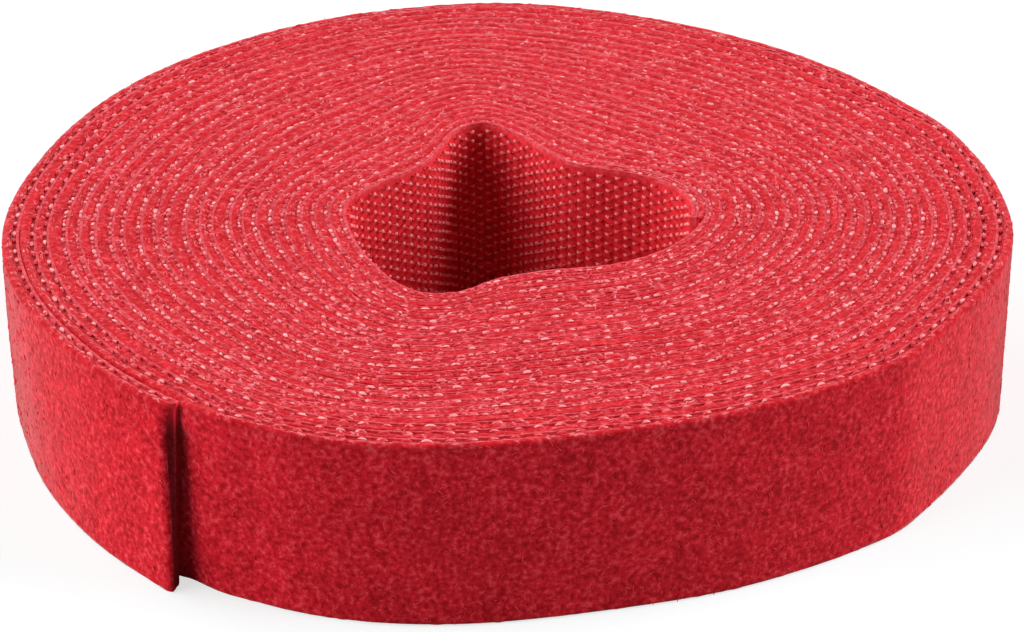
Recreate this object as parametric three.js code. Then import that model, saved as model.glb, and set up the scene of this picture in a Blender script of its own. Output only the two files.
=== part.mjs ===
// Hook and loop tape, wound on itself without a core and lying flat.
// Millimetres, +Z up, origin under the middle of the roll.
// The winding runs outwards counter-clockwise, seen from above.
import * as THREE from 'three';

// Tape
const tape_width = 20;
const hook_ply_thickness = 0.48;
const loop_ply_thickness = 0.57;

// Winding
const bore_radius = 17;
const turn_gap = 0.45;
const whole_turns = 22;
const last_turn_share = 2 / 3;
const inner_end_turn_share = -5 / 360;
const loosening_share = 0.04;
const loosening_power = 8;
const steps_per_turn = 24;

// Free ends: the steps of the winding that they take, the slit at the bend, and the outer end's lift
const outer_end_steps = 3;
const inner_end_steps = 3;
const bend_slit = 0.3;
const outer_end_lift = 1.9;
const top_corner_lift_share = 0.35;

// Slanted cut of the outer end: what it takes off the last step at the tape's lower and upper corner
const lower_corner_cut = 0.7;
const upper_corner_cut = 2.5;

// Bore outline: share of a turn, then share of the bore radius
const bore_outline_shares = [
  [0.00, 1.14], [0.05, 1.02], [0.09, 0.85], [0.125, 0.73], [0.165, 0.70], [0.205, 0.80],
  [0.24, 0.99], [0.27, 1.15], [0.30, 1.05], [0.32, 0.90], [0.35, 0.77], [0.39, 0.73],
  [0.44, 0.79], [0.49, 0.92], [0.56, 0.95], [0.62, 1.04], [0.68, 1.18], [0.71, 1.11],
  [0.735, 0.95], [0.77, 0.85], [0.80, 0.84], [0.86, 0.94], [0.93, 1.07],
];

// Outside outline: number of waves round the roll, then their cosine and sine shares of the outline's radius
const outside_wave_shares = [
  [2, 0.007, 0.004], [3, 0.018, -0.012], [4, 0.006, -0.004],
  [5, -0.004, 0], [6, 0.002, 0.005], [7, 0.004, -0.004],
];

// Values that follow from the sizes. The outside outline lies where one more turn's hook face would.
const full_circle = 2 * Math.PI;
const turn_pitch = hook_ply_thickness + loop_ply_thickness + turn_gap;
const hook_share = hook_ply_thickness / (hook_ply_thickness + loop_ply_thickness);
const turns = whole_turns + last_turn_share;
const outline_turns = turns + 1;
const outline_radius = bore_radius + turn_pitch * outline_turns;
const outer_bend = turns - outer_end_steps / steps_per_turn;
const inner_bend = inner_end_steps / steps_per_turn;

// Share of the bore radius at a place round the bore: a smooth closed curve through the outline's points
function boreShare(turn) {
  const points = bore_outline_shares;
  const place = turn - Math.floor(turn);
  const at = (k) => {
    const wraps = Math.floor(k / points.length);
    const [share, radius] = points[k - wraps * points.length];
    return [share + wraps, radius];
  };
  const i = points.findLastIndex(([share]) => share <= place);
  const [before, start, end, after] = [at(i - 1), at(i), at(i + 1), at(i + 2)];
  const span = end[0] - start[0];
  const u = (place - start[0]) / span;
  const start_slope = span * (end[1] - before[1]) / (end[0] - before[0]);
  const end_slope = span * (after[1] - start[1]) / (after[0] - start[0]);
  const end_weight = u * u * (3 - 2 * u);
  const bulge = u * (1 - u) * ((1 - u) * start_slope - u * end_slope);
  return start[1] + (end[1] - start[1]) * end_weight + bulge;
}

// Share of the outside outline's radius at a place round the roll
function outsideShare(turn) {
  const wave = (sum, [waves, cosine, sine]) => {
    const angle = waves * turn * full_circle;
    return sum + cosine * Math.cos(angle) + sine * Math.sin(angle);
  };
  return outside_wave_shares.reduce(wave, 1);
}

// Radius of the tape's hook face, t turns after the inner end. The last turns lie looser than the rest.
function hookFaceRadius(t) {
  const inside = bore_radius * boreShare(inner_end_turn_share + t);
  const outside = outline_radius * outsideShare(inner_end_turn_share + t);
  const s = t / outline_turns;
  return inside + (outside - inside) * (s + loosening_share * (s ** loosening_power - s));
}

function planPoint(t, radius) {
  const angle = full_circle * (inner_end_turn_share + t);
  return new THREE.Vector2(radius * Math.cos(angle), radius * Math.sin(angle));
}

// Cosine between the radius at t and the square to the steeper of the hook face's two facets there
function facetCosine(t) {
  const corner = planPoint(t, hookFaceRadius(t));
  const radial = corner.clone().normalize();
  const cosines = [t - 1 / steps_per_turn, t + 1 / steps_per_turn].map((other) => {
    const facet = planPoint(other, hookFaceRadius(other)).sub(corner).normalize();
    return Math.abs(radial.cross(facet));
  });
  return Math.min(...cosines);
}

// Radii of the tape's three faces t turns after the inner end. The pile fills what the next turn leaves free.
function faceRadii(t) {
  const hook_face = hookFaceRadius(t);
  const loop_face = hookFaceRadius(t + 1) - turn_gap / facetCosine(t + 1);
  const bond = hook_face + hook_share * (loop_face - hook_face);
  return { hook_face, bond, loop_face };
}

// How far the outer end stands off the roll: nothing at its bend, most at the lower corner of its cut end
function endLift(t, height_share) {
  const along = Math.max(0, (t - outer_bend) / (turns - outer_bend));
  const corner_share = 1 - height_share * (1 - top_corner_lift_share);
  return outer_end_lift * along * along * corner_share;
}

// Where a strip that runs to t really ends: a little short of it at the outer end, whose cut is slanted
function cutPlace(t, height_share) {
  const cut = lower_corner_cut + (upper_corner_cut - lower_corner_cut) * height_share;
  return t < turns ? t : turns - cut / (full_circle * hookFaceRadius(turns));
}

// One ply from t = first to t = last: a closed strip with a corner at every step of the winding
function plyStrip(first, last, inner_face, outer_face) {
  const places = [first];
  for (let k = Math.floor(first * steps_per_turn + 1); k < last * steps_per_turn; k += 1) {
    places.push(k / steps_per_turn);
  }
  places.push(last);

  const corners = [];
  for (const place of places) {
    for (const [face, height_share] of [[inner_face, 0], [inner_face, 1], [outer_face, 1], [outer_face, 0]]) {
      const t = cutPlace(place, height_share);
      const point = planPoint(t, faceRadii(t)[face] + endLift(t, height_share));
      corners.push(point.x, point.y, tape_width * height_share);
    }
  }

  const triangles = [];
  const section = [0, 1, 2, 3];
  for (let k = 0; k < places.length - 1; k += 1) {
    for (const i of section) {
      const j = (i + 1) % section.length;
      const [a, b, c, d] = [[k, i], [k, j], [k + 1, j], [k + 1, i]].map(([s, n]) => s * section.length + n);
      // Both plies split their common face along the same diagonal
      triangles.push(...(i === 2 ? [a, b, d, b, c, d] : [a, b, c, a, c, d]));
    }
  }
  const end = (places.length - 1) * section.length;
  triangles.push(0, 3, 2, 0, 2, 1, end, end + 1, end + 2, end, end + 2, end + 3);

  const geometry = new THREE.BufferGeometry();
  geometry.setAttribute('position', new THREE.Float32BufferAttribute(corners, 3));
  geometry.setIndex(triangles);
  geometry.computeVertexNormals();
  return geometry;
}

function loopPly(name, first, last) {
  const material = new THREE.MeshStandardMaterial({ color: 0xc4252f, roughness: 0.95, metalness: 0 });
  const mesh = new THREE.Mesh(plyStrip(first, last, 'bond', 'loop_face'), material);
  mesh.name = name;
  return mesh;
}

function hookPly(name, first, last) {
  const material = new THREE.MeshStandardMaterial({ color: 0x9e1420, roughness: 0.5, metalness: 0 });
  const mesh = new THREE.Mesh(plyStrip(first, last, 'hook_face', 'bond'), material);
  mesh.name = name;
  return mesh;
}

// Length of tape, in turns, that a slit takes at t
function slitTurns(t) {
  return bend_slit / (full_circle * hookFaceRadius(t));
}

// Least distance in plan between one turn's loop face and the next turn's hook face
function leastTurnGap() {
  const step = 1 / steps_per_turn;
  const samples_per_facet = 8;
  let least = Infinity;
  for (let k = 0; k < (turns - 1) * steps_per_turn; k += 1) {
    const ends = [k * step, (k + 1) * step].map((t) => planPoint(t, faceRadii(t).loop_face));
    for (let n = 0; n <= samples_per_facet; n += 1) {
      const point = ends[0].clone().lerp(ends[1], n / samples_per_facet);
      for (let m = k - 3; m <= k + 3; m += 1) {
        const [from, to] = [m * step + 1, (m + 1) * step + 1].map((t) => planPoint(t, hookFaceRadius(t)));
        const along = to.clone().sub(from);
        const share = THREE.MathUtils.clamp(point.clone().sub(from).dot(along) / along.lengthSq(), 0, 1);
        least = Math.min(least, point.distanceTo(from.addScaledVector(along, share)));
      }
    }
  }
  return least;
}

const group = new THREE.Group();
group.add(
  loopPly('roll_loop_ply', inner_bend, outer_bend),
  hookPly('roll_hook_ply', inner_bend, outer_bend),
  loopPly('outer_end_loop_ply', outer_bend + slitTurns(outer_bend), turns),
  hookPly('outer_end_hook_ply', outer_bend + slitTurns(outer_bend), turns),
  loopPly('inner_end_loop_ply', 0, inner_bend - slitTurns(inner_bend)),
  hookPly('inner_end_hook_ply', 0, inner_bend - slitTurns(inner_bend)),
);

// The roll's outline isn't quite round, so the origin goes under the middle of its extents
const extents = new THREE.Box3().setFromObject(group);
const middle = extents.getCenter(new THREE.Vector3());
group.position.set(-middle.x, -middle.y, 0);

// Facts that the joints and the report need
const outer_bend_point = planPoint(outer_bend, faceRadii(outer_bend).loop_face).sub(middle);
const inner_bend_point = planPoint(inner_bend, faceRadii(inner_bend).hook_face).sub(middle);
console.log('least gap between turns', leastTurnGap().toFixed(3));
const size = extents.getSize(new THREE.Vector3());
console.log('extents', size.toArray().map((length) => length.toFixed(2)).join(' x '));
console.log('middle of the extents', middle.x.toFixed(3), middle.y.toFixed(3));
console.log('outer bend', outer_bend_point.x.toFixed(3), outer_bend_point.y.toFixed(3));
console.log('inner bend', inner_bend_point.x.toFixed(3), inner_bend_point.y.toFixed(3));

export default group;
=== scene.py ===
import math

import bpy
import numpy as np
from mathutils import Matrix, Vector


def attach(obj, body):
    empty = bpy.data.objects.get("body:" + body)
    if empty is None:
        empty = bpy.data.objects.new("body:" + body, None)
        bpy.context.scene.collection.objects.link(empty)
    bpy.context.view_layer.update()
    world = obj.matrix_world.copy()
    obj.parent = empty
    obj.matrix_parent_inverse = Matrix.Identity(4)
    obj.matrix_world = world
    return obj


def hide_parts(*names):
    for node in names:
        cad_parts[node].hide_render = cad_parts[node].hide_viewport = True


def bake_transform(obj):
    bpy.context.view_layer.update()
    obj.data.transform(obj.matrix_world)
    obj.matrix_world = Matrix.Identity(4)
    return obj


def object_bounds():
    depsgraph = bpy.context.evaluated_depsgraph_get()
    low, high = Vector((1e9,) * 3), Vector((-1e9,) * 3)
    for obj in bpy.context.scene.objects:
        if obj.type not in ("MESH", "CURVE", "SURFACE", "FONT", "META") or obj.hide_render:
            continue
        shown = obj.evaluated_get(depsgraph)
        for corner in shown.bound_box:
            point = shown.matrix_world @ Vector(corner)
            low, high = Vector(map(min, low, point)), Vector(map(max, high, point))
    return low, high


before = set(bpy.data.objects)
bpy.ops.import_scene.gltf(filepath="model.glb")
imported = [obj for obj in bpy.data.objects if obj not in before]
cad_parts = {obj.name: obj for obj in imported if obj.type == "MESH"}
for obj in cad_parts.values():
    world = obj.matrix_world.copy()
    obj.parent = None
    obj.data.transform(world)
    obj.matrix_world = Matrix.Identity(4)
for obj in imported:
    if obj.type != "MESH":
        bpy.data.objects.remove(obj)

cad_low, cad_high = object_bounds()
MM = 0.001
FULL_TURN = 2 * math.pi
rng = np.random.default_rng(7)

# The tape and its winding, in millimetres, as the solids have them
TAPE_WIDTH = 20.0
TURN_PITCH = 1.5
CAD_TURN_GAP = 0.45
BORE_RADIUS = 17.0
TURNS = 22 + 2 / 3
FIRST_TURN_SHARE = -5 / 360
LOOSENING_SHARE = 0.04
LOOSENING_POWER = 8
STEPS_PER_TURN = 24
END_STEPS = 3
OUTER_END_LIFT = 1.9
TOP_CORNER_LIFT_SHARE = 0.35
LOWER_CORNER_CUT = 0.7
UPPER_CORNER_CUT = 2.5
BORE_OUTLINE_SHARES = [
    (0.00, 1.14), (0.05, 1.02), (0.09, 0.85), (0.125, 0.73), (0.165, 0.70), (0.205, 0.80),
    (0.24, 0.99), (0.27, 1.15), (0.30, 1.05), (0.32, 0.90), (0.35, 0.77), (0.39, 0.73),
    (0.44, 0.79), (0.49, 0.92), (0.56, 0.95), (0.62, 1.04), (0.68, 1.18), (0.71, 1.11),
    (0.735, 0.95), (0.77, 0.85), (0.80, 0.84), (0.86, 0.94), (0.93, 1.07),
]
OUTSIDE_WAVE_SHARES = [
    (2, 0.007, 0.004), (3, 0.018, -0.012), (4, 0.006, -0.004),
    (5, -0.004, 0), (6, 0.002, 0.005), (7, 0.004, -0.004),
]

# The tape's own layers, measured outwards from where the solids have the hook tips
BOND_OFFSET = 0.5
LAST_TURN_BOND_OFFSET = 0.3
HOOK_HEIGHT = 0.5
HOOK_WEB = 0.30
SELVEDGE = 0.35
WEB_MARGIN = 0.03
LOOP_WEB = 0.10
CHANNEL_HALF_WIDTH = 0.20
PLY_CLEARANCE = 0.01
CHANNEL_DEPTH = 0.09
OUTER_CHANNEL_DEPTH = 0.24
PRESSED_IN = 0.03

# The visible cut of the outer end: what it takes off, and what the slant adds to that towards the top
CUT_BACK = 1.25
CUT_SLANT = 1.6
CUT_SLANT_POWER = 1.5

# How far the cut's corners stick out again, and over what height. The web's lower corner is cut back.
LOWER_TIP = 0.15
LOWER_TIP_HEIGHT = 0.8
UPPER_TIP = 1.2
UPPER_TIP_HEIGHT = 1.2
WEB_CORNER_CUT = 0.5
WEB_CORNER_HEIGHT = 0.9

# The upper corner of the cut is pressed into the roll, most at its tip
CORNER_SINK = 0.3
PRESSED_SHARE = 0.35
PRESSED_LENGTH = 2.0
PRESSED_HEIGHT = 1.6

# Beside that corner the open pile of the turn below stands up
FLUFF = 0.45
FLUFF_PLACE = 0.6506
FLUFF_WIDTH = 0.0055
FLUFF_DEPTH = 2.2
FLUFF_TURNS = 0.1

# The open pile of the outermost turn: how much thicker it is, and over how many turns it starts
OPEN_PILE = 0.1
OPEN_PILE_START = 0.02

# How the real turns stray from the solids' smooth path. A bump has its place and its width as shares of a
# turn, and its height in mm. A wave has its number in a turn, its height in mm and its start.
OUTSIDE_BUMPS = [
    (0.008, 0.028, -0.5), (0.061, 0.014, 0.4), (0.283, 0.025, -0.4), (0.547, 0.030, -0.3),
    (0.617, 0.020, 0.3), (0.660, 0.010, 0.4), (0.708, 0.028, -0.35), (0.847, 0.020, -0.3),
    (0.889, 0.013, 0.4), (0.933, 0.028, -0.35),
]
BORE_BUMPS = [(0.745, 0.022, -0.45), (0.815, 0.045, -0.40)]
BORE_BUMP_TURNS = 4
LOOSE_START = 1.5
LOOSE_PLACE = -0.010
LOOSE_WIDTH = 0.085
LOOSE_DEPTH = -0.85
LOOSE_TURN = 17
LAST_LOOSE_TURN = TURNS - 0.9
LAST_LOOSE_SHARE = 0.35
STRAY_WAVES = [(1.37, 0.14, 0.0), (2.63, 0.10, 1.0), (4.30, 0.06, 2.0)]
WAVES_START = 1.3
WAVES_RISE = 2
WAVES_END = TURNS - 0.6
STRAYING_TURNS = 6

# How far the lower edges lie out at places round the roll. Each has its place and width as shares of a turn,
# its depth in mm and the power with which it grows downwards.
OUTER_LEANS = [(0.547, 0.033, -0.8, 2), (0.98, 0.05, -0.3, 1)]
BORE_LEANS = [(0.26, 0.07, -0.9, 1)]
UNDER_END_LEANS = [(0.641, 0.007, 0.9, 2)]
UNDER_END_TURNS = 0.3

# Where the outermost turn's layers move nearer to the solids' inner face
OUTERMOST_START = TURNS - 1.5
OUTERMOST_RISE = 0.5

# Values that follow. The outer wall starts where the free outer end leaves it open, with a little overlap.
# The bore's wall ends past the inner end.
OUTLINE_TURNS = TURNS + 1
OUTLINE_RADIUS = BORE_RADIUS + TURN_PITCH * OUTLINE_TURNS
OUTER_BEND = TURNS - END_STEPS / STEPS_PER_TURN
INNER_BEND = END_STEPS / STEPS_PER_TURN
WALL_OVERLAP = 0.01
LAST_WALL = OUTER_BEND - 1 - WALL_OVERLAP
FIRST_WALL = 1 + 1.5 * INNER_BEND


# Path of the tape

def bore_share(turn):
    """Share of the bore radius round the bore: the same smooth closed curve as the solids follow."""
    share = np.mod(turn, 1.0)
    points = np.array(BORE_OUTLINE_SHARES)
    count = len(points)
    wrapped = np.vstack([points[-1:] - [1, 0], points, points[:2] + [1, 0]])
    i = np.clip(np.searchsorted(points[:, 0], share, side="right"), 1, count)
    before, start, end, after = wrapped[i - 1], wrapped[i], wrapped[i + 1], wrapped[i + 2]
    span = end[..., 0] - start[..., 0]
    u = (share - start[..., 0]) / span
    start_slope = span * (end[..., 1] - before[..., 1]) / (end[..., 0] - before[..., 0])
    end_slope = span * (after[..., 1] - start[..., 1]) / (after[..., 0] - start[..., 0])
    end_weight = u * u * (3 - 2 * u)
    bulge = u * (1 - u) * ((1 - u) * start_slope - u * end_slope)
    return start[..., 1] + (end[..., 1] - start[..., 1]) * end_weight + bulge


def outside_share(turn):
    total = np.ones_like(turn)
    for waves, cosine, sine in OUTSIDE_WAVE_SHARES:
        angle = waves * turn * FULL_TURN
        total = total + cosine * np.cos(angle) + sine * np.sin(angle)
    return total


def solid_radius(t):
    t = np.asarray(t, float)
    inside = BORE_RADIUS * bore_share(FIRST_TURN_SHARE + t)
    outside = OUTLINE_RADIUS * outside_share(FIRST_TURN_SHARE + t)
    s = t / OUTLINE_TURNS
    return inside + (outside - inside) * (s + LOOSENING_SHARE * (s**LOOSENING_POWER - s))


def bump_at(turn, place, width):
    away = np.mod(turn - place + 0.5, 1) - 0.5
    return np.exp(-(away / width) ** 2)


def wave_sum(t, waves):
    """Sum of waves along the winding, each with its number in a turn, its height and its start."""
    return sum(height * np.sin(FULL_TURN * count * t + start) for count, height, start in waves)


def bump_sum(turn, bumps):
    return sum(height * bump_at(turn, place, width) for place, width, height in bumps)


def straying_shares(t):
    """How fully a place strays as a part of the outer turns, and how fully as a part of the inner turns."""
    outer = np.clip((t - (TURNS - STRAYING_TURNS)) / STRAYING_TURNS, 0, 1)
    return outer, np.clip(1 - t / BORE_BUMP_TURNS, 0, 1)


def stray(t):
    """How far a turn lies out of the solids' path.

    Outer and inner turns have bumps, the turns lie looser at the right, and slow waves run through them."""
    turn = FIRST_TURN_SHARE + t
    outer, inner = straying_shares(t)
    bumps = outer * bump_sum(turn, OUTSIDE_BUMPS) + inner * bump_sum(turn, BORE_BUMPS)
    between = np.clip((t - WAVES_START) / WAVES_RISE, 0, 1) * np.clip(WAVES_END - t, 0, 1)
    waves = between * wave_sum(t, STRAY_WAVES)
    loose = np.interp(t, [LOOSE_START, LOOSE_TURN, LAST_LOOSE_TURN, TURNS], [0, 1, LAST_LOOSE_SHARE, 0])
    return bumps + waves + LOOSE_DEPTH * loose * bump_at(turn, LOOSE_PLACE, LOOSE_WIDTH)


def hook_face_radius(t):
    t = np.asarray(t, float)
    return solid_radius(t) + stray(t)


def lean_sum(t, height, leans):
    turn = FIRST_TURN_SHARE + t
    low_share = 1 - height / TAPE_WIDTH
    return sum(depth * bump_at(turn, place, width) * low_share**power for place, width, depth, power in leans)


def lean(t, height):
    """How far the tape leans out at a height: the outer turns at the left and the right, the inner turns at
    the back, and the wall under the free outer end."""
    outer, inner = straying_shares(t)
    under_end = np.abs(t - (TURNS - 1)) < UNDER_END_TURNS
    leaning = outer * lean_sum(t, height, OUTER_LEANS) + inner * lean_sum(t, height, BORE_LEANS)
    return leaning + np.where(under_end, lean_sum(t, height, UNDER_END_LEANS), 0)


def plan(t, radius):
    angle = FULL_TURN * (FIRST_TURN_SHARE + np.asarray(t, float))
    return np.stack([radius * np.cos(angle), radius * np.sin(angle)], -1)


# Fine table of the path: direction, length, slope and distance to the next turn at every t
TABLE_START = -0.01
TABLE_END = TURNS + 1.01
TABLE_SIZE = 48001
TABLE_T = np.linspace(TABLE_START, TABLE_END, TABLE_SIZE)
TABLE_XY = plan(TABLE_T, hook_face_radius(TABLE_T))
TABLE_TANGENT = np.gradient(TABLE_XY, axis=0)
TABLE_TANGENT /= np.linalg.norm(TABLE_TANGENT, axis=1)[:, None]
TABLE_LENGTH = np.concatenate([[0], np.cumsum(np.linalg.norm(np.diff(TABLE_XY, axis=0), axis=1))])
TABLE_RADIAL = TABLE_XY / np.linalg.norm(TABLE_XY, axis=1)[:, None]
TABLE_COSINE = np.abs(TABLE_TANGENT[:, 1] * TABLE_RADIAL[:, 0] - TABLE_TANGENT[:, 0] * TABLE_RADIAL[:, 1])
TABLE_PITCH = (hook_face_radius(TABLE_T + 1) - hook_face_radius(TABLE_T)) * TABLE_COSINE


def look_up(values, t):
    if values.ndim == 1:
        return np.interp(t, TABLE_T, values)
    return np.stack([np.interp(t, TABLE_T, values[:, k]) for k in range(values.shape[1])], -1)


def length_at(t):
    return look_up(TABLE_LENGTH, t)


def t_at(length):
    return np.interp(length, TABLE_LENGTH, TABLE_T)


def squeeze(t):
    """How far the layers are pressed together where turns lie closer than usual."""
    return np.minimum(1.0, look_up(TABLE_PITCH, t) / TURN_PITCH)


def bond_offset(t):
    outermost = np.clip((t - OUTERMOST_START) / OUTERMOST_RISE, 0, 1)
    return BOND_OFFSET * squeeze(t) + (LAST_TURN_BOND_OFFSET - BOND_OFFSET) * outermost


def layers(t):
    """Offsets square to the tape: the hook web's face, the bond, the pile's root and the pile's face.

    Between turns the pile fills the space among the next turn's hooks."""
    bond = bond_offset(t)
    hook_face = bond - (CHANNEL_HALF_WIDTH + HOOK_WEB) * squeeze(t)
    root = bond + (CHANNEL_HALF_WIDTH + LOOP_WEB) * squeeze(t)
    next_web = bond_offset(t + 1) - (CHANNEL_HALF_WIDTH + HOOK_WEB) * squeeze(t + 1)
    held = look_up(TABLE_PITCH, t) + next_web + PRESSED_IN
    free = look_up(TABLE_PITCH, t) - CAD_TURN_GAP + OPEN_PILE
    share = np.clip((t - (TURNS - 1)) / OPEN_PILE_START, 0, 1)
    return hook_face, bond, root, held + (free - held) * share


def end_lift(t, height):
    """How far the outer end stands off the roll: not at all at its bend, most at its cut's lower corner."""
    along = np.clip((t - OUTER_BEND) / (TURNS - OUTER_BEND), 0, None)
    return OUTER_END_LIFT * along**2 * (1 - height / TAPE_WIDTH * (1 - TOP_CORNER_LIFT_SHARE))


def pressed_corner(t, height):
    """How nearly the upper corner of the cut outer end is pressed flat into the roll's pile."""
    to_cut = length_at(TURNS) - length_at(t)
    near_cut = np.where(t > OUTER_BEND, np.exp(-np.clip(to_cut, 0, None) / PRESSED_LENGTH), 0)
    return PRESSED_SHARE * near_cut * np.exp((height - TAPE_WIDTH) / PRESSED_HEIGHT)


def solid_shift():
    """How far the solids were moved to stand over the origin: their box's middle less their path's."""
    last_corner = round(TURNS * STEPS_PER_TURN)
    t = np.arange(last_corner - STEPS_PER_TURN, last_corner + 1) / STEPS_PER_TURN
    t[-1] -= LOWER_CORNER_CUT / (FULL_TURN * solid_radius(TURNS))
    corner = plan(t + 1, solid_radius(t + 1))
    radial = corner / np.linalg.norm(corner, axis=1)[:, None]
    cosines = []
    for other_t in (t + 1 - 1 / STEPS_PER_TURN, t + 1 + 1 / STEPS_PER_TURN):
        facet = plan(other_t, solid_radius(other_t)) - corner
        facet /= np.linalg.norm(facet, axis=1)[:, None]
        cosines.append(np.abs(radial[:, 0] * facet[:, 1] - radial[:, 1] * facet[:, 0]))
    gap = CAD_TURN_GAP / np.minimum(*cosines)
    outer = plan(t, solid_radius(t + 1) - gap + end_lift(t, 0.0))
    solids_middle = (np.array(cad_low[:2]) + np.array(cad_high[:2])) / 2 / MM
    return solids_middle - (outer.min(0) + outer.max(0)) / 2


SHIFT = solid_shift()


def slanted_cut(t, offset, height):
    """Where on the outer end a place ends up once the end is cut at a slant, with corners that stick out."""
    cut_off = CUT_BACK + CUT_SLANT * np.clip(height / TAPE_WIDTH, 0, 1) ** CUT_SLANT_POWER
    cut_off = cut_off + WEB_CORNER_CUT * np.exp(-height / WEB_CORNER_HEIGHT) * np.clip(1 - offset, 0, 1)
    lower_tip = LOWER_TIP * np.exp(-height / LOWER_TIP_HEIGHT)
    upper_tip = UPPER_TIP * np.exp((height - TAPE_WIDTH) / UPPER_TIP_HEIGHT)
    kept = 1 - (cut_off - (lower_tip + upper_tip)) / (length_at(TURNS) - length_at(OUTER_BEND))
    return OUTER_BEND + (t - OUTER_BEND) * kept


def place(t, offset, height):
    """Point in metres at t, at an offset from the hook tips square to the tape and a height, both in mm."""
    t, offset, height = np.broadcast_arrays(np.asarray(t, float), offset, height)
    pressed = pressed_corner(t, height)
    offset = offset * (1 - pressed) - CORNER_SINK * pressed
    t = np.where(t > OUTER_BEND, slanted_cut(t, offset, height), t)
    lift = end_lift(t, height) * (1 - pressed)
    radius = hook_face_radius(t) + offset / look_up(TABLE_COSINE, t) + lift + lean(t, height)
    xy = plan(t, radius) + SHIFT
    return np.concatenate([xy, height[..., None]], -1) * MM


def directions(t):
    """Unit vectors along the tape and outwards from it."""
    tangent = look_up(TABLE_TANGENT, t)
    tangent /= np.linalg.norm(tangent, axis=-1, keepdims=True)
    along = np.concatenate([tangent, np.zeros(tangent.shape[:-1] + (1,))], -1)
    outward = np.stack([tangent[..., 1], -tangent[..., 0], np.zeros(tangent.shape[:-1])], -1)
    return along, outward


# Noise that a mesh can be roughened with

LATTICE = 64
LATTICE_VALUES = np.random.default_rng(11).uniform(-1, 1, (LATTICE, LATTICE, LATTICE))


def noise(points, scale):
    """Smooth noise from -1 to 1 at points in mm, with bumps about scale mm apart."""
    p = np.asarray(points) / scale
    cell = np.floor(p).astype(int)
    u = p - cell
    u = u * u * (3 - 2 * u)
    total = np.zeros(p.shape[:-1])
    for dx in (0, 1):
        for dy in (0, 1):
            for dz in (0, 1):
                weight = np.abs(1 - dx - u[..., 0]) * np.abs(1 - dy - u[..., 1]) * np.abs(1 - dz - u[..., 2])
                x, y, z = [(cell[..., k] + d) % LATTICE for k, d in enumerate((dx, dy, dz))]
                total += weight * LATTICE_VALUES[x, y, z]
    return total


# Mesh makers

def mesh_object(name, points, faces, material):
    """An object from an array of points and a list of arrays of faces, each of one number of corners."""
    mesh = bpy.data.meshes.new(name)
    points = np.asarray(points, np.float32).reshape(-1, 3)
    mesh.vertices.add(len(points))
    mesh.vertices.foreach_set("co", points.ravel())
    corners = np.concatenate([f.ravel() for f in faces])
    sizes = np.concatenate([np.full(len(f), f.shape[1]) for f in faces])
    starts = np.concatenate([[0], np.cumsum(sizes)[:-1]])
    mesh.loops.add(len(corners))
    mesh.loops.foreach_set("vertex_index", corners.astype(np.int32))
    mesh.polygons.add(len(sizes))
    mesh.polygons.foreach_set("loop_start", starts.astype(np.int32))
    mesh.polygons.foreach_set("loop_total", sizes.astype(np.int32))
    mesh.polygons.foreach_set("use_smooth", np.ones(len(sizes), bool))
    mesh.update(calc_edges=True)
    mesh.validate()
    mesh.materials.append(material)
    made = bpy.data.objects.new(name, mesh)
    bpy.context.scene.collection.objects.link(made)
    return made


def band_object(name, points, material, sharp_degrees, cut_shade_material=None):
    """A closed band from rings of points, one for each step along the tape. A ring runs up the hook side."""
    steps, ring = points.shape[:2]
    index = np.arange(steps * ring).reshape(steps, ring)
    a, b = index[:-1], np.roll(index[:-1], -1, axis=1)
    c, d = np.roll(index[1:], -1, axis=1), index[1:]
    sides = np.stack([a, b, c, d], -1).reshape(-1, 4)
    ends = np.stack([index[0][::-1], index[-1]])
    made = mesh_object(name, points, [sides, ends], material)
    made.data.set_sharp_from_angle(angle=math.radians(sharp_degrees))
    # A cut end's cap takes the cut's material, whose dark colour is painted shade.
    if cut_shade_material:
        made.data.materials.append(cut_shade_material)
        made.data.polygons[-1].material_index = len(made.data.materials) - 1
    return made


def tubes(paths, sides_direction, radii, corner_count):
    """Many small closed tubes along paths (items, points, 3), each with a direction square to its plane and a
    radius at every point, all in metres."""
    items, count = paths.shape[:2]
    tangent = np.gradient(paths, axis=1)
    tangent /= np.linalg.norm(tangent, axis=-1, keepdims=True)
    side = np.broadcast_to(sides_direction[:, None], paths.shape)
    across = np.cross(tangent, side)
    across /= np.maximum(np.linalg.norm(across, axis=-1, keepdims=True), 1e-9)
    side = np.cross(across, tangent)
    angles = FULL_TURN * np.arange(corner_count) / corner_count
    ring = side[:, :, None] * np.cos(angles)[:, None] + across[:, :, None] * np.sin(angles)[:, None]
    points = paths[:, :, None] + ring * radii[:, :, None, None]
    index = np.arange(items * count * corner_count).reshape(items, count, corner_count)
    a, d = index[:, :-1], index[:, 1:]
    b, c = np.roll(a, -1, axis=2), np.roll(d, -1, axis=2)
    quads = np.stack([a, b, c, d], -1).reshape(-1, 4)
    caps = np.concatenate([index[:, 0, ::-1], index[:, -1]])
    return points.reshape(-1, 3), [quads, caps]


BALL_SEGMENTS = 6
BALL_RINGS = 3


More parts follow.
